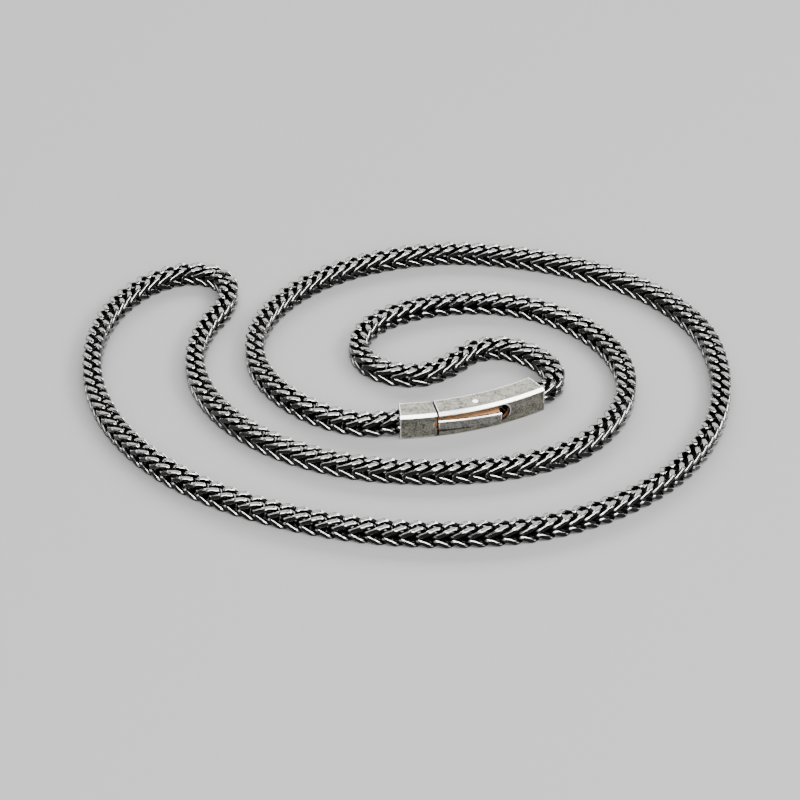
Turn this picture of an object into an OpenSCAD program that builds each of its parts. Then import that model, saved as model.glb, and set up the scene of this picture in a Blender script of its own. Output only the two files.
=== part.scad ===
// A square foxtail (franco) link chain necklace, lying in a loose spiral, closed by a curved box clasp.
// The chain is a plain bar of the chain's true section, in two halves that meet.
// Z = 0 is the surface that it lies on, and the clasp's lever sits on the side that faces -Y.

/* [Chain] */
// Width of the chain's square section
chain_w = 3; // [2.8:0.1:3.1]
// Chamfer along the chain's four edges
chain_chamfer = 0.4; // [0.2:0.1:0.6]

/* [Clasp] */
// Depth of the clasp, from its hollow side to its bulging side
clasp_depth = 4; // [3.9:0.1:4.2]
// Height of the clasp
clasp_h = 4.1; // [4:0.1:4.3]
// Radius of the clasp's centre line
clasp_radius = 42.6; // [42.4:0.1:42.8]
// Bevel of the upper edge on the bulging side
bevel = 0.4; // [0.2:0.05:0.45]
// Chamfer of the clasp's other long edges
edge = 0.15; // [0.1:0.05:0.2]
// Bevel of the upper edges at the clasp's ends and seam
end_bevel = 0.1; // [0.05:0.05:0.12]
// Thickness of the steel walls
wall = 0.55; // [0.5:0.05:0.6]
// Thickness of the rose gold sleeve in the clasp
sleeve_wall = 0.25; // [0.2:0.05:0.3]

/* [Slot] */
// Lower edge of the lever's slot
slot_z0 = 0.8; // [0.75:0.05:0.9]
// Upper edge of the lever's slot
slot_z1 = 3.55; // [3.45:0.05:3.6]
// Depth of the round nick that carries the slot on into the end cap
nick_depth = 0.55; // [0.4:0.05:0.6]

/* [Lever] */
// Length of the lever's steel face from the pin to the hook end
lever_back = 6.3; // [6.2:0.05:6.35]
// Length of the lever's steel face from the pin to the end that is pressed
lever_front = 3.8; // [3.6:0.05:3.9]
// Distance from the pin to the lever's steel face
lever_out = 2; // [1.95:0.05:2.1]
// Thickness of the steel plate on the lever
plate_t = 0.4; // [0.3:0.05:0.45]
// Height of the lever
lever_h = 1.55; // [1.4:0.05:1.6]
// Diameter of the lever's pin
pin_d = 0.9; // [0.8:0.05:1]
// Bevel of the upper edge of the lever's steel face
plate_bevel = 0.15; // [0.1:0.05:0.2]
// Angle of the lever to the X axis at rest, measured at its pin
lever_angle = 15.2; // [14.5:0.1:16]

/* [Hidden] */
$fn = 96;
eps = 0.5;
gap = 0.08;

// Colours
steel = [0.62, 0.61, 0.58];
dark_steel = [0.42, 0.43, 0.44];
rose_gold = [0.85, 0.5, 0.33];

// The clasp's centre line is an arc round this point, and angles along it count from the -Y side.
arc_centre = [-4.3, 30.8];
cap_start = 4.6;
seam = 12.1;
seam_gap = 0.15;
box_start = seam + seam_gap / clasp_radius * 180 / PI;
box_end = 35.8;
sleeve_end = 28.4;
slot_end = 27.6;
pin_angle = 20.8;
pin_offset = 0.2;
tongue_start = 7;
tongue_end = 18.1;
cap_cavity_start = 6.8;
sleeve_inner_end = 28;
cavity_end = 28.6;
before_seam = seam - 1;
after_seam = seam + 1;

half_depth = clasp_depth / 2;
clasp_mid = clasp_h / 2;
cavity_z0 = wall;
cavity_z1 = clasp_h - wall;
cavity_r = half_depth - wall;
socket_depth = 1.2;
socket_w = chain_w + 0.2;
pin_bore = pin_d + 0.1;
pin_floor = 0.25;
pin_proud = 0.06;
sleeve_floor = cavity_z0 + gap / 2 + sleeve_wall;
lever_z0 = sleeve_floor + gap;
lever_r = clasp_radius + pin_offset + lever_out;
boss_d = 2;
hook_l = 0.8;
hook_reach = 0.55;

// The chain's centre line, from inside the end cap round the spiral to inside the clasp box.
ROUTE = [
    [0.1, -11.6, 2.05], [-2, -11.8, 2], [-5.2, -12, 1.7], [-11.6, -9.9, 1.53], [-19, -3.4, 1.5],
    [-23.4, 5.2, 1.5], [-24.1, 13, 1.5], [-21.4, 22.7, 1.5], [-14.8, 31.7, 1.5], [-5, 38.1, 1.5],
    [7, 41, 1.5], [20.3, 39.3, 1.5], [32, 34.5, 1.5], [41.7, 26.8, 1.5], [48, 16.3, 1.5],
    [50, 3, 1.5], [48, -11, 1.5], [41.3, -24.3, 1.5], [30.6, -34.2, 1.5], [19, -39.5, 1.5],
    [7, -41, 1.5], [-7.5, -39.5, 1.5], [-20.5, -35.1, 1.5], [-32.2, -27.9, 1.5], [-41.4, -18, 1.5],
    [-47.2, -6.8, 1.5], [-50, 8, 1.5], [-48.9, 18.5, 1.5], [-45.9, 26.2, 1.5], [-41.4, 31.7, 1.5],
    [-36, 34.2, 1.5], [-31.8, 33.1, 1.5], [-29.3, 29.4, 1.5], [-29.5, 24.2, 1.5], [-32.3, 16.4, 1.5],
    [-33.6, 7.8, 1.5], [-31.8, -1.8, 1.5], [-26.8, -10.8, 1.5], [-18.7, -18.4, 1.5], [-7.6, -23.4, 1.5],
    [4.7, -24.8, 1.5], [17, -23.1, 1.5], [27, -17.8, 1.5], [33.1, -8.8, 1.5], [35, 0.8, 1.5],
    [32.9, 10.5, 1.5], [27.1, 18.6, 1.5], [18.8, 23.7, 1.5], [9, 24.7, 1.5], [0.3, 22.1, 1.5],
    [-5.5, 17.1, 1.5], [-7.5, 10.7, 1.5], [-5.8, 5.9, 1.5], [-2, 3, 1.5], [2.4, 2.6, 1.5],
    [7.1, 5.4, 1.5], [11.4, 9.8, 1.5], [15.4, 10.6, 1.5], [19.7, 8.7, 1.5], [22.9, 4.8, 1.51],
    [23.8, 1, 1.545], [23.3, -1, 1.7], [21.7, -3, 2], [19.8, -4.3, 2.05]
];
last = len(ROUTE) - 1;
halfway = 26;
bow_limit = 0.5;

// Slope of the smooth curve at a route point, from the spans before and after it
function span(i) = norm(ROUTE[i + 1] - ROUTE[i]);
function chord(i) = (ROUTE[i + 1] - ROUTE[i]) / span(i);
function slope(i) =
    i == 0 ? chord(0)
    : i == last ? chord(last - 1)
    : (chord(i) * span(i - 1) + chord(i - 1) * span(i)) / (span(i - 1) + span(i));

// How far a span bows out from its chord
function bow(i) = span(i) * norm(slope(i + 1) - slope(i)) / 8;

// A point of the curve and its direction, part way along one span
function curve_point(i, t) =
    ROUTE[i] * (2 * t ^ 3 - 3 * t ^ 2 + 1) + ROUTE[i + 1] * (3 * t ^ 2 - 2 * t ^ 3)
    + span(i) * (slope(i) * (t ^ 3 - 2 * t ^ 2 + t) + slope(i + 1) * (t ^ 3 - t ^ 2));
function curve_slope(i, t) =
    (ROUTE[i] - ROUTE[i + 1]) * (6 * t ^ 2 - 6 * t) / span(i)
    + slope(i) * (3 * t ^ 2 - 4 * t + 1) + slope(i + 1) * (3 * t ^ 2 - 2 * t);

// Section of the chain as an octagon, with x across the chain and y up
section_flat = chain_w / 2 - chain_chamfer;
SECTION = [
    [chain_w / 2, -section_flat], [chain_w / 2, section_flat],
    [section_flat, chain_w / 2], [-section_flat, chain_w / 2],
    [-chain_w / 2, section_flat], [-chain_w / 2, -section_flat],
    [-section_flat, -chain_w / 2], [section_flat, -chain_w / 2]
];
sides = len(SECTION);

// One ring of the swept bar: the section stands upright, square to the route in plan
function ring(point, direction) =
    let (flat = [direction[0], direction[1]] / norm([direction[0], direction[1]]))
    [for (corner = SECTION) point + [flat[1] * corner[0], -flat[0] * corner[0], corner[1]]];

function rings(first, final) = [
    for (i = [first : final - 1])
        let (steps = bow(i) > bow_limit ? 2 : 1)
        for (k = [0 : steps - 1])
            ring(curve_point(i, k / steps), curve_slope(i, k / steps)),
    ring(ROUTE[final], slope(final))
];

module swept_bar(first, final) {
    loops = rings(first, final);
    count = len(loops);
    walls = [
        for (i = [0 : count - 2])
            for (k = [0 : sides - 1])
                let (next = (k + 1) % sides)
                [i * sides + k, i * sides + next, (i + 1) * sides + next, (i + 1) * sides + k]
    ];
    start_cap = [for (k = [sides - 1 : -1 : 0]) k];
    end_face = [for (k = [0 : sides - 1]) (count - 1) * sides + k];
    polyhedron(points = [for (loop = loops) each loop], faces = concat(walls, [start_cap, end_face]), convexity = 10);
}

// A section in radius and height, turned along the clasp's arc
module along_arc(from, to) {
    translate(concat(arc_centre, 0))
        rotate([0, 0, from - 90])
            rotate_extrude(angle = to - from)
                translate([clasp_radius, 0])
                    children();
}

// A place on the clasp's arc, with +X along the arc and -Y towards the bulging side
module on_arc(angle, offset = 0) {
    reach = clasp_radius + offset;
    translate([arc_centre[0] + reach * sin(angle), arc_centre[1] - reach * cos(angle), 0])
        rotate([0, 0, angle])
            children();
}

module clasp_outline() {
    polygon([
        [-half_depth + edge, 0], [half_depth - edge, 0], [half_depth, edge],
        [half_depth, clasp_h - bevel], [half_depth - bevel, clasp_h],
        [-half_depth + edge, clasp_h], [-half_depth, clasp_h - edge], [-half_depth, edge]
    ]);
}

module band(r0, r1, z0, z1) {
    translate([r0, z0])
        square([r1 - r0, z1 - z0]);
}

// Bevel across the upper edge of one end of the clasp's steel, with side 1 where the steel lies ahead and -1 behind
module softened_end(angle, side) {
    on_arc(angle)
        translate([-side * eps, -clasp_depth, clasp_h - end_bevel - eps])
            rotate([0, -45, 0])
                cube([4 * eps, 2 * clasp_depth, 4 * eps]);
}

// The opening that the chain's end sits in, with x counted into the clasp
module chain_socket(side) {
    length = socket_depth + eps;
    translate([side > 0 ? -eps : -socket_depth, -socket_w / 2, clasp_mid - socket_w / 2])
        cube([length, socket_w, socket_w]);
}

// Round ended slot through the bulging side, open towards the seam
module slot_cut() {
    end_r = (slot_z1 - slot_z0) / 2;
    round_r = end_r + 0.01;
    round_start = slot_end - end_r / (clasp_radius + half_depth) * 180 / PI;
    along_arc(before_seam, round_start)
        band(cavity_r - eps, half_depth + eps, slot_z0, slot_z1);
    on_arc(round_start, half_depth)
        translate([0, wall + eps, slot_z0 + end_r])
            rotate([90, 0, 0])
                cylinder(r = round_r, h = wall + 2 * eps);
}

// A place on the lever, with the pin at the origin and -Y towards its steel face
module on_lever() {
    reach = clasp_radius + pin_offset;
    translate([arc_centre[0] + reach * sin(pin_angle), arc_centre[1] - reach * cos(pin_angle), 0])
        rotate([0, 0, lever_angle])
            children();
}

// A section in distance from the lever's steel face and height, turned along the lever's own arc
module along_lever(from, to) {
    turn = 180 / PI / lever_r;
    on_lever()
        translate([0, lever_r - lever_out, 0])
            rotate([0, 0, from * turn - 90])
                rotate_extrude(angle = (to - from) * turn)
                    translate([lever_r, 0])
                        children();
}

module chain_outer() {
    color(dark_steel)
        swept_bar(0, halfway);
}

module chain_inner() {
    color(dark_steel)
        swept_bar(halfway, last);
}

module end_cap() {
    nick_r = 0.7;
    color(steel)
        difference() {
            along_arc(cap_start, seam)
                clasp_outline();
            on_arc(cap_start)
                chain_socket(1);
            softened_end(cap_start, 1);
            softened_end(seam, -1);
            along_arc(cap_cavity_start, after_seam)
                band(-cavity_r, cavity_r, cavity_z0, cavity_z1);
            on_arc(seam, half_depth)
                translate([nick_r - nick_depth, wall + eps, (slot_z0 + slot_z1) / 2])
                    rotate([90, 0, 0])
                        cylinder(r = nick_r, h = wall + 2 * eps);
        }
}

module tongue() {
    root_z0 = cavity_z0 + gap;
    root_z1 = cavity_z1 - gap;
    blade_z0 = lever_z0;
    blade_z1 = 3.1;
    blade_front = -0.2;
    notch_l = hook_l + 0.65;
    notch_depth = hook_reach + 0.1;
    notch_z1 = lever_z0 + lever_h + 0.2;
    color(rose_gold)
        difference() {
            union() {
                along_arc(tongue_start, seam)
                    band(-cavity_r + gap, cavity_r - gap, root_z0, root_z1);
                along_arc(before_seam, tongue_end)
                    band(-cavity_r + sleeve_wall + 2 * gap, blade_front, blade_z0, blade_z1);
            }
            on_lever()
                translate([-lever_back, 0, blade_z0 - eps])
                    cube([notch_l, notch_depth, notch_z1 - blade_z0 + eps]);
        }
}

module clasp_box() {
    color(steel)
        difference() {
            along_arc(box_start, box_end)
                clasp_outline();
            along_arc(before_seam, cavity_end)
                band(-cavity_r, cavity_r, cavity_z0, cavity_z1);
            slot_cut();
            on_arc(box_end)
                chain_socket(-1);
            softened_end(box_start, 1);
            softened_end(box_end, -1);
            on_lever()
                translate([0, 0, pin_floor])
                    cylinder(d = pin_d, h = clasp_h);
        }
}

module sleeve() {
    outer_r = cavity_r - gap / 2;
    inner_r = outer_r - sleeve_wall;
    sleeve_start = box_start + 0.1;
    low = cavity_z0 + gap / 2;
    high = cavity_z1 - gap / 2;
    color(rose_gold)
        difference() {
            along_arc(sleeve_start, sleeve_end)
                band(-outer_r, outer_r, low, high);
            along_arc(before_seam, sleeve_inner_end)
                band(-inner_r, inner_r, sleeve_floor, high - sleeve_wall);
            slot_cut();
            on_lever()
                translate([0, 0, -eps])
                    cylinder(d = pin_bore, h = clasp_h);
        }
}

module lever() {
    plate_gap = 0.03;
    overhang = 0.15;
    front_wing = 0.75;
    body_edge = -0.55;
    back_x = -lever_back + overhang;
    front_x = lever_front - overhang;
    hook_x = back_x + hook_l;
    color(rose_gold)
        difference() {
            translate([0, 0, lever_z0])
                on_lever()
                    union() {
                        linear_extrude(lever_h)
                            polygon([
                                [back_x, -lever_out], [front_x, -lever_out], [front_x, front_wing],
                                [hook_x, body_edge], [hook_x, hook_reach], [back_x, hook_reach]
                            ]);
                        cylinder(d = boss_d, h = lever_h);
                    }
            along_lever(-lever_back - eps, lever_front + eps)
                band(-plate_t - plate_gap, 2 * eps, lever_z0 - eps, lever_z0 + lever_h + eps);
            on_lever()
                cylinder(d = pin_bore, h = clasp_h);
        }
}

module lever_plate() {
    color(steel)
        along_lever(-lever_back, lever_front)
            translate([0, lever_z0])
                polygon([
                    [0, 0], [0, lever_h - plate_bevel], [-plate_bevel, lever_h],
                    [-plate_t, lever_h], [-plate_t, 0]
                ]);
}

module lever_pin() {
    color(steel)
        on_lever()
            translate([0, 0, pin_floor])
                cylinder(d = pin_d, h = clasp_h + pin_proud - pin_floor);
}

chain_outer();
chain_inner();
end_cap();
tongue();
clasp_box();
sleeve();
lever();
lever_plate();
lever_pin();
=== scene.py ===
"""Looks of a franco link chain necklace with a curved box clasp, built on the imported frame."""
import math

import bpy
import numpy as np
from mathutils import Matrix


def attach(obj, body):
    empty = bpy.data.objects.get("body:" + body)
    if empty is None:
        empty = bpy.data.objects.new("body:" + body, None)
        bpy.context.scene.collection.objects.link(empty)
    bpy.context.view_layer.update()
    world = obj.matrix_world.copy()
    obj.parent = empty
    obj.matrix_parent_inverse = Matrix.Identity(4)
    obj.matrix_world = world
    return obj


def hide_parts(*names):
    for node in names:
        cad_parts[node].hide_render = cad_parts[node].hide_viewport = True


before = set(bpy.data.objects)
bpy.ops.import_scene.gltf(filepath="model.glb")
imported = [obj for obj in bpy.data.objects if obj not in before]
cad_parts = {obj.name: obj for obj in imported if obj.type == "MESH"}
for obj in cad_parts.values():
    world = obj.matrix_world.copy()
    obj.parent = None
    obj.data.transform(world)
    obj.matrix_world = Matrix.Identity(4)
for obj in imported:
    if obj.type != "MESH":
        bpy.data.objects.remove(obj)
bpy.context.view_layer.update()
scene = bpy.context.scene
MM = 0.001


# Camera at the photograph's angle above the floor

VIEW_ELEVATION = math.radians(32.85)
VIEW_DISTANCE = 450.1 * MM
VIEW_TARGET = (-0.75 * MM, -7.08 * MM, 3.0 * MM)

camera_data = bpy.data.cameras.new("camera")
camera_data.lens = 130.2
camera_data.sensor_width = 36
camera_data.clip_start = 0.01
camera_data.clip_end = 20
camera = bpy.data.objects.new("camera", camera_data)
camera.location = (
    VIEW_TARGET[0],
    VIEW_TARGET[1] - VIEW_DISTANCE * math.cos(VIEW_ELEVATION),
    VIEW_TARGET[2] + VIEW_DISTANCE * math.sin(VIEW_ELEVATION),
)
camera.rotation_euler = (math.pi / 2 - VIEW_ELEVATION, 0, 0)
scene.collection.objects.link(camera)
scene.camera = camera


# Material helpers

MIX_FACTOR = 0
MIX_A = 6
MIX_B = 7
MIX_RESULT = 2


def new_material(name):
    material = bpy.data.materials.new(name)
    material.use_nodes = True
    nodes = material.node_tree.nodes
    nodes.clear()
    output = nodes.new("ShaderNodeOutputMaterial")
    shader = nodes.new("ShaderNodeBsdfPrincipled")
    material.node_tree.links.new(shader.outputs["BSDF"], output.inputs["Surface"])
    return material, shader


class Tree:
    """Short calls for one material's nodes."""

    def __init__(self, material):
        self.nodes = material.node_tree.nodes
        self.links = material.node_tree.links

    def put(self, value, socket):
        if isinstance(value, bpy.types.NodeSocket):
            self.links.new(value, socket)
        else:
            socket.default_value = value

    def position(self):
        return self.nodes.new("ShaderNodeTexCoord").outputs["Object"]

    def attribute(self, name):
        node = self.nodes.new("ShaderNodeAttribute")
        node.attribute_name = name
        return node.outputs["Fac"]

    def math(self, operation, a, b=0.0):
        node = self.nodes.new("ShaderNodeMath")
        node.operation = operation
        self.put(a, node.inputs[0])
        self.put(b, node.inputs[1])
        return node.outputs[0]

    def noise(self, vector, scale, detail, roughness=0.55):
        node = self.nodes.new("ShaderNodeTexNoise")
        self.put(vector, node.inputs["Vector"])
        node.inputs["Scale"].default_value = scale
        node.inputs["Detail"].default_value = detail
        node.inputs["Roughness"].default_value = roughness
        return node.outputs["Fac"]

    def mapping(self, vector, rotation, scale, location):
        node = self.nodes.new("ShaderNodeMapping")
        self.put(vector, node.inputs["Vector"])
        node.inputs["Location"].default_value = location
        node.inputs["Rotation"].default_value = rotation
        node.inputs["Scale"].default_value = scale
        return node.outputs[0]

    def span(self, value, low, high, to_low=0.0, to_high=1.0):
        """A smooth change between two values, as a value goes from low to high."""
        node = self.nodes.new("ShaderNodeMapRange")
        node.interpolation_type = "SMOOTHSTEP"
        self.put(value, node.inputs["Value"])
        self.put(low, node.inputs["From Min"])
        self.put(high, node.inputs["From Max"])
        self.put(to_low, node.inputs["To Min"])
        self.put(to_high, node.inputs["To Max"])
        return node.outputs[0]

    def mix(self, factor, a, b):
        node = self.nodes.new("ShaderNodeMix")
        node.data_type = "RGBA"
        self.put(factor, node.inputs[MIX_FACTOR])
        self.put(a, node.inputs[MIX_A])
        self.put(b, node.inputs[MIX_B])
        return node.outputs[MIX_RESULT]

    def bump(self, height, distance, strength):
        node = self.nodes.new("ShaderNodeBump")
        node.inputs["Strength"].default_value = strength
        node.inputs["Distance"].default_value = distance
        self.put(height, node.inputs["Height"])
        return node.outputs[0]

    def part(self, vector, axis):
        node = self.nodes.new("ShaderNodeSeparateXYZ")
        self.put(vector, node.inputs[0])
        return node.outputs[axis]

    def distance_from(self, vector, place):
        """How far each point is from an upright line through a place."""
        node = self.nodes.new("ShaderNodeVectorMath")
        node.operation = "LENGTH"
        from_place = self.mapping(vector, (0, 0, 0), (1, 1, 0), (-place[0], -place[1], 0))
        self.put(from_place, node.inputs[0])
        return node.outputs["Value"]

    def height_of_normal(self):
        geometry = self.nodes.new("ShaderNodeNewGeometry")
        return self.part(geometry.outputs["Normal"], "Z")

    def edge(self, radius):
        """1 along an outer edge or corner, 0 on a face."""
        bevel = self.nodes.new("ShaderNodeBevel")
        bevel.samples = 6
        bevel.inputs["Radius"].default_value = radius
        geometry = self.nodes.new("ShaderNodeNewGeometry")
        dot = self.nodes.new("ShaderNodeVectorMath")
        dot.operation = "DOT_PRODUCT"
        self.put(bevel.outputs[0], dot.inputs[0])
        self.put(geometry.outputs["True Normal"], dot.inputs[1])
        return self.span(dot.outputs["Value"], 0.995, 0.9)


# Materials

RECESS_BLACK = (0.008, 0.008, 0.009, 1)
WORN_AND_HIGHLIGHT_WHITE = (0.97, 0.96, 0.94, 1)
SEAM_SHADE_BLACK = (0.004, 0.0035, 0.003, 1)
BRONZE = (0.22, 0.06, 0.02, 1)
LIP_GOLD = (0.97, 0.58, 0.34, 1)


def chain_material():
    """Oxidised steel links.

    The leaves on top are grey in the middle, a painted shade, and bright round the rim. The sides are
    painted darker still, near black, as shade, with bright upper edges, and the recesses are near
    black.
    Where the wire faces down its rim is painted near black too, a painted shade. The mark called outer
    says how far out a point lay before it was worn flat, and side is 1 on the sides of the chain.
    """
    material, shader = new_material("oxidised_links_painted_shade")
    t = Tree(material)
    where = t.position()
    outer = t.attribute("outer")
    side = t.attribute("side")
    cloud = t.noise(where, 900, 3)
    grain = t.noise(where, 5200, 2)
    reach = t.math("ADD", outer, t.math("MULTIPLY", t.math("SUBTRACT", cloud, 0.5), 0.04))
    rim = t.span(reach, 0.84, 0.9)
    flat = t.span(side, 0.3, 0.7, 1.0, 0.98)
    face = t.span(reach, flat, t.math("ADD", flat, 0.03))
    # Painted shade: rims facing down are painted near black, and rims on the sides a little darker than
    # on top.
    painted_light_from_above = t.span(t.height_of_normal(), 0.0, 0.4)
    bright = t.mix(side, (0.99, 0.98, 0.96, 1), (0.95, 0.94, 0.92, 1))
    polished = t.mix(painted_light_from_above, (0.03, 0.0295, 0.028, 1), bright)
    # Painted shade: the flat leaf tops are painted dark grey and the flat sides near black.
    leaf = t.mix(grain, (0.06, 0.059, 0.057, 1), (0.15, 0.147, 0.142, 1))
    flank = t.mix(grain, (0.01, 0.01, 0.01, 1), (0.03, 0.0295, 0.028, 1))
    centre = t.mix(side, leaf, flank)
    metal = t.mix(face, polished, centre)
    t.put(t.mix(rim, RECESS_BLACK, metal), shader.inputs["Base Color"])
    shader.inputs["Metallic"].default_value = 1.0
    t.put(t.span(rim, 0.0, 1.0, 0.4, 0.14), shader.inputs["Roughness"])
    t.put(t.bump(grain, 0.01 * MM, 0.3), shader.inputs["Normal"])
    return material


# The centre of the clasp's arc, the middle of its seam, the way it runs there, and its pin

ARC_CENTRE = (-4.3 * MM, 30.8 * MM)
SEAM = (4.703 * MM, -10.838 * MM)
SEAM_TURN = math.radians(12.2)
PIN = (10.899 * MM, -9.211 * MM)


def washed_steel(name, light, dark):
    """Stonewashed steel: cloudy grey with fine pits.

    It is painted white on its bevels facing up, a painted highlight, and rubbed bright along its edges,
    partly wear and partly a painted highlight. It is painted black along the seam, a painted shade. The
    edges stay plain on the cap's side of the seam, low down past the seam and round the pin.
    """
    material, shader = new_material(name)
    t = Tree(material)
    where = t.position()
    cloud = t.noise(where, 900, 5, 0.65)
    speck = t.noise(where, 5200, 3, 0.6)
    tone = t.math("ADD", t.math("MULTIPLY", cloud, 0.35), t.math("MULTIPLY", speck, 0.65))
    base = t.mix(t.span(tone, 0.4, 0.58), dark, light)
    # The bevels facing up are picked out to be painted white: a painted highlight.
    lift = t.height_of_normal()
    bevel = t.math("MULTIPLY", t.span(lift, 0.4, 0.6), t.span(lift, 0.97, 0.85))

    to_seam = (
        -SEAM[0] * math.cos(SEAM_TURN) - SEAM[1] * math.sin(SEAM_TURN),
        SEAM[0] * math.sin(SEAM_TURN) - SEAM[1] * math.cos(SEAM_TURN),
        0,
    )
    past_seam = t.part(t.mapping(where, (0, 0, -SEAM_TURN), (1, 1, 1), to_seam), "X")
    cap_end = t.math(
        "MULTIPLY",
        t.span(past_seam, -0.7 * MM, -0.5 * MM),
        t.span(past_seam, 0.18 * MM, 0.1 * MM),
    )
    box_foot = t.math(
        "MULTIPLY",
        t.span(past_seam, 0.0, 0.1 * MM),
        t.span(t.part(where, "Z"), 1.5 * MM, 1.3 * MM),
    )
    round_pin = t.span(t.distance_from(where, PIN), 0.9 * MM, 1.1 * MM, 1.0, 0.0)
    plain = t.math("MAXIMUM", t.math("MAXIMUM", cap_end, box_foot), round_pin)
    # Edges are painted white, partly wear and partly a painted highlight; plain keeps them unpainted by
    # the seam, low down and round the pin.
    edges = t.math("MULTIPLY", t.edge(0.4 * MM), t.math("SUBTRACT", 1.0, plain))
    rubbed = t.math("MAXIMUM", t.math("MULTIPLY", edges, t.span(speck, 0.3, 0.5, 0.7, 1.0)), bevel)
    # Painted shade: a black band along the seam between the cap and the box.
    painted_seam_shade = t.span(t.math("ABSOLUTE", past_seam), 0.14 * MM, 0.2 * MM, 1.0, 0.0)

    # The white here is wear and painted highlight together.
    worn = t.mix(rubbed, base, WORN_AND_HIGHLIGHT_WHITE)
    t.put(t.mix(painted_seam_shade, worn, SEAM_SHADE_BLACK), shader.inputs["Base Color"])
    shader.inputs["Metallic"].default_value = 1.0
    dull = t.span(tone, 0.3, 0.7, 0.46, 0.34)
    t.put(t.span(rubbed, 0.0, 1.0, dull, 0.2), shader.inputs["Roughness"])
    t.put(t.bump(speck, 0.02 * MM, 0.3), shader.inputs["Normal"])
    return material


def bright_steel():
    """The polished head of the lever's pin."""
    material, shader = new_material("bright_pin_steel")
    t = Tree(material)
    speck = t.noise(t.position(), 4200, 3, 0.6)
    t.put(t.mix(speck, (0.9, 0.89, 0.87, 1), (0.98, 0.97, 0.95, 1)), shader.inputs["Base Color"])
    shader.inputs["Metallic"].default_value = 1.0
    t.put(t.span(speck, 0.3, 0.7, 0.18, 0.28), shader.inputs["Roughness"])
    return material


LINE_SPACING = 0.34 * MM


def rose_gold(name, light):
    """Rose gold with fine dark lines drawn along the clasp's curve."""
    material, shader = new_material(name)
    t = Tree(material)
    where = t.position()
    fine = t.noise(where, 3000, 3)
    turns = t.math("MULTIPLY", t.distance_from(where, ARC_CENTRE), 2 * math.pi / LINE_SPACING)
    waver = t.math("MULTIPLY", t.noise(where, 700, 2), 4.0)
    lines = t.math("SINE", t.math("ADD", turns, waver))
    shade = t.mix(t.span(lines, -0.9, 0.1), BRONZE, light)
    t.put(t.mix(t.math("MULTIPLY", fine, 0.15), shade, light), shader.inputs["Base Color"])
    shader.inputs["Metallic"].default_value = 0.1
    t.put(t.span(lines, -0.9, -0.3, 0.5, 0.35), shader.inputs["Roughness"])
    t.put(t.bump(lines, 0.03 * MM, 0.5), shader.inputs["Normal"])
    return material


def lined_sleeve():
    """The sleeve: rose gold, painted near black inside as shade, with its cut edges left rose gold."""
    material, shader = new_material("sleeve_rose_gold")
    t = Tree(material)
    grain = t.noise(t.position(), 3000, 3)
    lip = t.math("MULTIPLY", t.edge(0.25 * MM), t.span(grain, 0.3, 0.55, 0.6, 1.0))
    # Painted shade: the sleeve's inside is painted near black, and its lip keeps the rose gold.
    inside = t.mix(grain, (0.012, 0.005, 0.003, 1), (0.03, 0.012, 0.006, 1))
    t.put(t.mix(lip, inside, LIP_GOLD), shader.inputs["Base Color"])
    shader.inputs["Metallic"].default_value = 0.5
    shader.inputs["Roughness"].default_value = 0.4
    return material


LINK_METAL = chain_material()
CLASP_STEEL = washed_steel("washed_clasp_steel", (0.27, 0.261, 0.222, 1), (0.066, 0.064, 0.052, 1))
PLATE_STEEL = washed_steel("washed_plate_steel", (0.3, 0.293, 0.265, 1), (0.08, 0.078, 0.069, 1))
PIN_STEEL = bright_steel()
LEVER_GOLD = rose_gold("lined_rose_gold", (1.0, 0.54, 0.25, 1))
# The tongue is a darker copy of the lever's rose gold: a painted shade.
SHADED_TONGUE_GOLD = rose_gold("tongue_rose_gold", (0.5, 0.22, 0.1, 1))
SLEEVE_GOLD = lined_sleeve()


def dress(node, material):
    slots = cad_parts[node].data.materials
    if len(slots) == 0:
        slots.append(material)
    for index in range(len(slots)):
        slots[index] = material


dress("end_cap", CLASP_STEEL)
dress("clasp_box", CLASP_STEEL)
dress("lever_plate", PLATE_STEEL)
dress("lever_pin", PIN_STEEL)
dress("lever", LEVER_GOLD)
dress("tongue", SHADED_TONGUE_GOLD)
dress("sleeve", SLEEVE_GOLD)


# Route of the chain, the same points and curve as in the part's source, in millimetres

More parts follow.
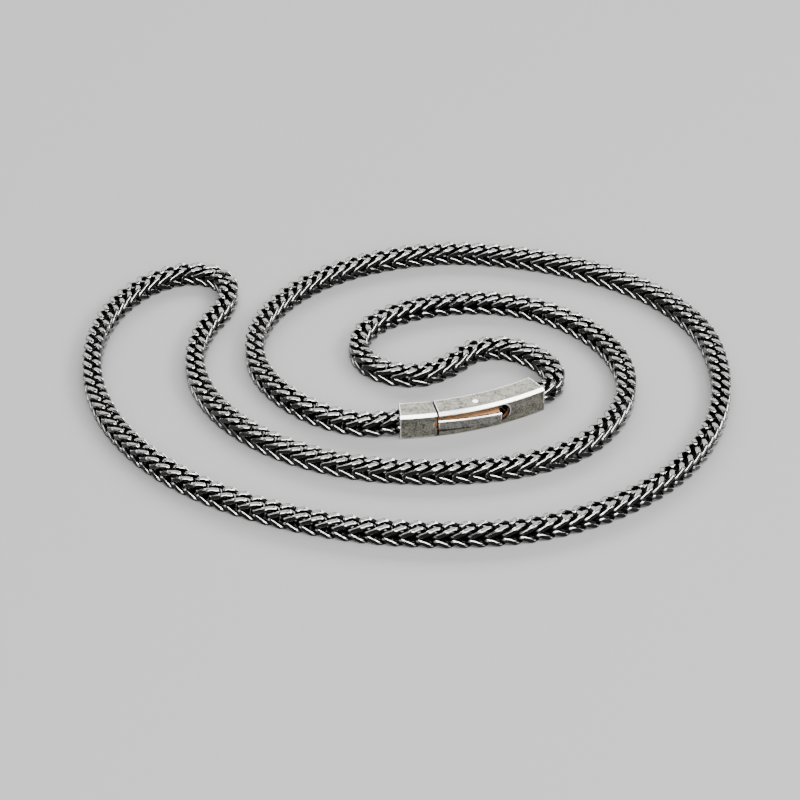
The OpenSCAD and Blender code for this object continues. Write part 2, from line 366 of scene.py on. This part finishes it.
ROUTE = [
    [0.1, -11.6, 2.05], [-2, -11.8, 2], [-5.2, -12, 1.7], [-11.6, -9.9, 1.53], [-19, -3.4, 1.5],
    [-23.4, 5.2, 1.5], [-24.1, 13, 1.5], [-21.4, 22.7, 1.5], [-14.8, 31.7, 1.5], [-5, 38.1, 1.5],
    [7, 41, 1.5], [20.3, 39.3, 1.5], [32, 34.5, 1.5], [41.7, 26.8, 1.5], [48, 16.3, 1.5],
    [50, 3, 1.5], [48, -11, 1.5], [41.3, -24.3, 1.5], [30.6, -34.2, 1.5], [19, -39.5, 1.5],
    [7, -41, 1.5], [-7.5, -39.5, 1.5], [-20.5, -35.1, 1.5], [-32.2, -27.9, 1.5], [-41.4, -18, 1.5],
    [-47.2, -6.8, 1.5], [-50, 8, 1.5], [-48.9, 18.5, 1.5], [-45.9, 26.2, 1.5], [-41.4, 31.7, 1.5],
    [-36, 34.2, 1.5], [-31.8, 33.1, 1.5], [-29.3, 29.4, 1.5], [-29.5, 24.2, 1.5], [-32.3, 16.4, 1.5],
    [-33.6, 7.8, 1.5], [-31.8, -1.8, 1.5], [-26.8, -10.8, 1.5], [-18.7, -18.4, 1.5], [-7.6, -23.4, 1.5],
    [4.7, -24.8, 1.5], [17, -23.1, 1.5], [27, -17.8, 1.5], [33.1, -8.8, 1.5], [35, 0.8, 1.5],
    [32.9, 10.5, 1.5], [27.1, 18.6, 1.5], [18.8, 23.7, 1.5], [9, 24.7, 1.5], [0.3, 22.1, 1.5],
    [-5.5, 17.1, 1.5], [-7.5, 10.7, 1.5], [-5.8, 5.9, 1.5], [-2, 3, 1.5], [2.4, 2.6, 1.5],
    [7.1, 5.4, 1.5], [11.4, 9.8, 1.5], [15.4, 10.6, 1.5], [19.7, 8.7, 1.5], [22.9, 4.8, 1.51],
    [23.8, 1, 1.545], [23.3, -1, 1.7], [21.7, -3, 2], [19.8, -4.3, 2.05],
]

# The route point where chain_outer ends, and the steps taken between two route points

HALFWAY = 26
STEPS = 60


def route_samples():
    """Points along the route, with the heading and the distance travelled at each."""
    knots = np.array(ROUTE, float)
    spans = np.linalg.norm(np.diff(knots, axis=0), axis=1)
    chords = np.diff(knots, axis=0) / spans[:, None]
    before = spans[:-1, None]
    after = spans[1:, None]
    middle = (chords[1:] * before + chords[:-1] * after) / (before + after)
    slopes = np.vstack([chords[:1], middle, chords[-1:]])
    t = (np.arange(STEPS) / STEPS)[:, None]
    points = []
    for i, length in enumerate(spans):
        points.append(
            knots[i] * (2 * t**3 - 3 * t**2 + 1)
            + knots[i + 1] * (3 * t**2 - 2 * t**3)
            + length * (slopes[i] * (t**3 - 2 * t**2 + t) + slopes[i + 1] * (t**3 - t**2))
        )
    points = np.vstack(points + [knots[-1:]])
    travelled = np.concatenate([[0], np.cumsum(np.linalg.norm(np.diff(points, axis=0), axis=1))])
    heading = np.unwrap(np.arctan2(np.gradient(points[:, 1]), np.gradient(points[:, 0])))
    return points, heading, travelled


POINTS, HEADING, TRAVELLED = route_samples()
ROUTE_LENGTH = TRAVELLED[-1]


# One link, as a closed loop of wire in units of the pitch: x forward, y left, z up

LINK_COUNT = 234
HALF_LOOP = [
    [-0.97, 0.1, 0], [-0.95, 0.1, 0.18], [-0.91, 0.1, 0.33], [-0.81, 0.13, 0.45],
    [-0.67, 0.2, 0.52], [-0.54, 0.3, 0.54], [-0.42, 0.4, 0.52], [-0.3, 0.47, 0.46],
    [-0.16, 0.5, 0.39], [0, 0.5, 0.31], [0.15, 0.49, 0.24], [0.3, 0.45, 0.18],
    [0.44, 0.35, 0.17], [0.56, 0.22, 0.17], [0.65, 0.08, 0.19], [0.73, -0.04, 0.26],
    [0.81, -0.12, 0.36], [0.82, -0.18, 0.46], [0.74, -0.25, 0.53], [0.63, -0.34, 0.54],
    [0.51, -0.42, 0.5], [0.37, -0.48, 0.43], [0.2, -0.5, 0.35], [0.02, -0.5, 0.27],
    [-0.16, -0.5, 0.2], [-0.32, -0.49, 0.14], [-0.42, -0.47, 0.07], [-0.45, -0.46, 0],
]

# How far a link reaches behind and ahead of its middle, wire included, in units of the pitch

LINK_BACK = 1.14
LINK_FRONT = 0.99
PITCH = ROUTE_LENGTH / (LINK_COUNT - 1 + LINK_BACK + LINK_FRONT)

# The wire and the chain's half width in millimetres, and how a link's wire is divided

WIRE_RADIUS = 0.4
HALF_WIDTH = 1.5
RINGS = 96
SIDES = 16

# The change from top to side starts where a point is this much nearer the chain's top than its side,
# and is this wide, in millimetres

SIDE_START = 0.2925
SIDE_BLEND = 0.45


def link_template():
    """Rings of vertices of one link in millimetres, and two marks for its material at each.

    The marks say how far out a vertex lay before it was worn flat, and whether it is on a side.
    """
    half = np.array(HALF_LOOP, float)
    mirrored = half[1:-1][::-1] * [1, 1, -1]
    loop = np.vstack([half, mirrored]) * PITCH
    count = len(loop)
    t = np.linspace(0, count, RINGS, endpoint=False)
    i = t.astype(int)
    f = (t - i)[:, None]
    a, b, c, d = (loop[(i + k) % count] for k in (-1, 0, 1, 2))
    centre = 0.5 * (
        2 * b
        + (c - a) * f
        + (2 * a - 5 * b + 4 * c - d) * f**2
        + (3 * b - a - 3 * c + d) * f**3
    )
    along = np.roll(centre, -1, 0) - np.roll(centre, 1, 0)
    along /= np.linalg.norm(along, axis=1)[:, None]
    normals = [np.cross(along[0], [1.0, 0, 0])]
    for k in range(1, RINGS + 1):
        carried = normals[-1] - along[k % RINGS] * np.dot(normals[-1], along[k % RINGS])
        normals.append(carried / np.linalg.norm(carried))
    normals[0] /= np.linalg.norm(normals[0])
    side = np.cross(along[0], normals[0])
    twist = math.atan2(np.dot(normals[RINGS], side), np.dot(normals[RINGS], normals[0]))
    rows = []
    for k in range(RINGS):
        angles = 2 * math.pi * np.arange(SIDES) / SIDES - twist * k / RINGS
        across = np.cross(along[k], normals[k])
        round_wire = np.outer(np.cos(angles), normals[k]) + np.outer(np.sin(angles), across)
        rows.append(centre[k] + WIRE_RADIUS * round_wire)
    verts = np.vstack(rows)
    height = np.abs(verts[:, 2])
    width = np.abs(verts[:, 1])
    outer = np.maximum(height, width) / HALF_WIDTH
    flank = np.clip((width - height + SIDE_START) / SIDE_BLEND, 0, 1)
    verts[:, 1:] = np.clip(verts[:, 1:], -HALF_WIDTH, HALF_WIDTH)
    return verts.reshape(RINGS, SIDES, 3), outer.reshape(RINGS, SIDES), flank.reshape(RINGS, SIDES)


def link_shape(kept):
    """Vertices, faces and marks of the rings kept of one link, closed where its wire is cut."""
    verts, outer, flank = TEMPLATE
    rings = np.flatnonzero(kept)
    place = {k: i * SIDES for i, k in enumerate(rings)}
    faces = []
    for k in rings:
        ring = [place[k] + j for j in range(SIDES)]
        if (k + 1) % RINGS in place:
            ahead = place[(k + 1) % RINGS]
            for j in range(SIDES):
                m = (j + 1) % SIDES
                faces.append((ring[j], ring[m], ahead + m, ahead + j))
        else:
            faces.append(ring)
        if (k - 1) % RINGS not in place:
            faces.append(ring[::-1])
    return verts[rings].reshape(-1, 3), faces, outer[rings].ravel(), flank[rings].ravel()


def on_route(verts, start):
    """A link's vertices bent along the route, with its middle at the distance start."""
    s = start + verts[:, 0]
    heading = np.interp(s, TRAVELLED, HEADING)
    x = np.interp(s, TRAVELLED, POINTS[:, 0]) - verts[:, 1] * np.sin(heading)
    y = np.interp(s, TRAVELLED, POINTS[:, 1]) + verts[:, 1] * np.cos(heading)
    z = np.interp(s, TRAVELLED, POINTS[:, 2]) + verts[:, 2]
    return np.stack([x, y, z], 1)


TEMPLATE = link_template()
WHOLE = link_shape(np.ones(RINGS, bool))

# The first and last links are cut off inside the clasp, this many millimetres from the route's ends

CUT_BACK = 0.1
RING_X = TEMPLATE[0][:, :, 0]
FIRST_CUT = link_shape(RING_X.min(1) > CUT_BACK - (LINK_BACK - 1) * PITCH)
LAST_CUT = link_shape(RING_X.max(1) < (LINK_FRONT - 1) * PITCH - CUT_BACK)


def run_of_links(name, links, node):
    """One piece of links, each a number along the chain and a shape, standing for a node."""
    placed = []
    all_faces = []
    count = 0
    for k, (verts, faces, _, _) in links:
        placed.append(on_route(verts, (LINK_BACK + k) * PITCH))
        all_faces += [[count + corner for corner in face] for face in faces]
        count += len(verts)
    mesh = bpy.data.meshes.new(name)
    mesh.from_pydata((np.vstack(placed) * MM).tolist(), [], all_faces)
    for label, mark in (("outer", 2), ("side", 3)):
        layer = mesh.attributes.new(label, "FLOAT", "POINT")
        values = np.concatenate([shape[mark] for _, shape in links])
        layer.data.foreach_set("value", values.astype(np.float32))
    mesh.polygons.foreach_set("use_smooth", np.ones(len(mesh.polygons), bool))
    mesh.materials.append(LINK_METAL)
    mesh.update()
    piece = bpy.data.objects.new(name, mesh)
    scene.collection.objects.link(piece)
    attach(piece, "necklace")
    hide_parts(node)


split = TRAVELLED[HALFWAY * STEPS]
OUTER_LINKS = round(split / PITCH - LINK_BACK)
INNER_MIDDLE = (OUTER_LINKS + LINK_COUNT) // 2
LINKS = [(k, WHOLE) for k in range(LINK_COUNT)]
run_of_links("links_outer_first", [(-1, FIRST_CUT)] + LINKS[: OUTER_LINKS // 2], "chain_outer")
run_of_links("links_outer_second", LINKS[OUTER_LINKS // 2 : OUTER_LINKS], "chain_outer")
run_of_links("links_inner_first", LINKS[OUTER_LINKS:INNER_MIDDLE], "chain_inner")
run_of_links("links_inner_second", LINKS[INNER_MIDDLE:] + [(LINK_COUNT, LAST_CUT)], "chain_inner")


# Floor

FLOOR_HALF = 3
FLOOR_DROP = 0.02 * MM

corners = [(-1, -1), (1, -1), (1, 1), (-1, 1)]
floor_mesh = bpy.data.meshes.new("floor")
floor_points = [(x * FLOOR_HALF, y * FLOOR_HALF, 0) for x, y in corners]
floor_mesh.from_pydata(floor_points, [], [(0, 1, 2, 3)])
floor = bpy.data.objects.new("floor", floor_mesh)
floor.location.z = -FLOOR_DROP
scene.collection.objects.link(floor)
floor_material, floor_shader = new_material("pale_floor")
floor_shader.inputs["Base Color"].default_value = (0.5, 0.5, 0.5, 1)
floor_shader.inputs["Roughness"].default_value = 0.6
floor_mesh.materials.append(floor_material)


# Lights and surroundings

def soft_light(name, place, size, power):
    """A rectangular light that faces the middle of the necklace."""
    data = bpy.data.lights.new(name, "AREA")
    data.shape = "RECTANGLE"
    data.size = size[0]
    data.size_y = size[1]
    data.energy = power
    light = bpy.data.objects.new(name, data)
    light.location = place
    x, y, z = place
    light.rotation_euler = (
        math.pi / 2 - math.atan2(z, math.hypot(x, y)),
        0,
        math.atan2(-y, -x) - math.pi / 2,
    )
    scene.collection.objects.link(light)


soft_light("front_softbox", (0.0, -0.35, 0.62), (0.5, 0.22), 3.2)
soft_light("low_front_softbox", (0.1, -0.9, 0.42), (0.7, 0.2), 6)
soft_light("right_softbox", (0.55, -0.2, 0.56), (0.7, 0.3), 6)
soft_light("back_softbox", (0.0, 0.8, 0.55), (1.2, 0.4), 10)
soft_light("left_softbox", (-0.8, 0.0, 0.5), (0.3, 0.7), 1.2)

world = bpy.data.worlds.new("studio")
world.use_nodes = True
background = world.node_tree.nodes["Background"]
background.inputs["Color"].default_value = (0.5, 0.5, 0.5, 1)
background.inputs["Strength"].default_value = 0.2
scene.world = world
